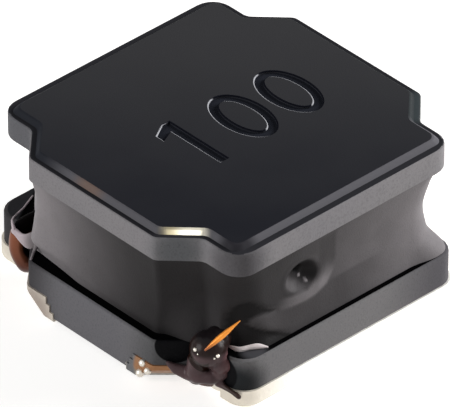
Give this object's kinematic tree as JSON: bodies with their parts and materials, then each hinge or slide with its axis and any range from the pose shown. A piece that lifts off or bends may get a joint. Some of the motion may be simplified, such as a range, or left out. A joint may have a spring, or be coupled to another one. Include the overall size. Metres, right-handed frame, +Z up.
{
  "type": "power inductor",
  "caption": "Low square surface-mount power inductor: ferrite drum core with notched plates, winding in magnetic resin, two soldered terminals.",
  "frame": {"origin": "centre of the underside, on the plane that the terminals rest on", "axes": "+Z up, away from the circuit board; +X along the two terminals, with both leads in the notches on the -X side; +Y from the front terminal to the rear terminal"},
  "size_m": [0.008, 0.008, 0.0041],
  "materials": {
    "ferrite": "dark grey nickel-zinc ferrite, satin, ground on top",
    "enamelled_wire": "copper under clear brown enamel, glossy",
    "resin": "cured resin loaded with magnetic powder, satin",
    "plating": "matte tin over silver",
    "solder": "bright solder",
    "flux": "hardened brown flux, glossy"
  },
  "bodies": {
    "root": {"drum_core": "ferrite", "winding": "enamelled_wire", "magnetic_resin": "resin", "front_terminal": "plating", "rear_terminal": "plating", "front_solder": "solder", "rear_solder": "solder", "front_flux_residue": "flux"}
  },
  "joints": []
}
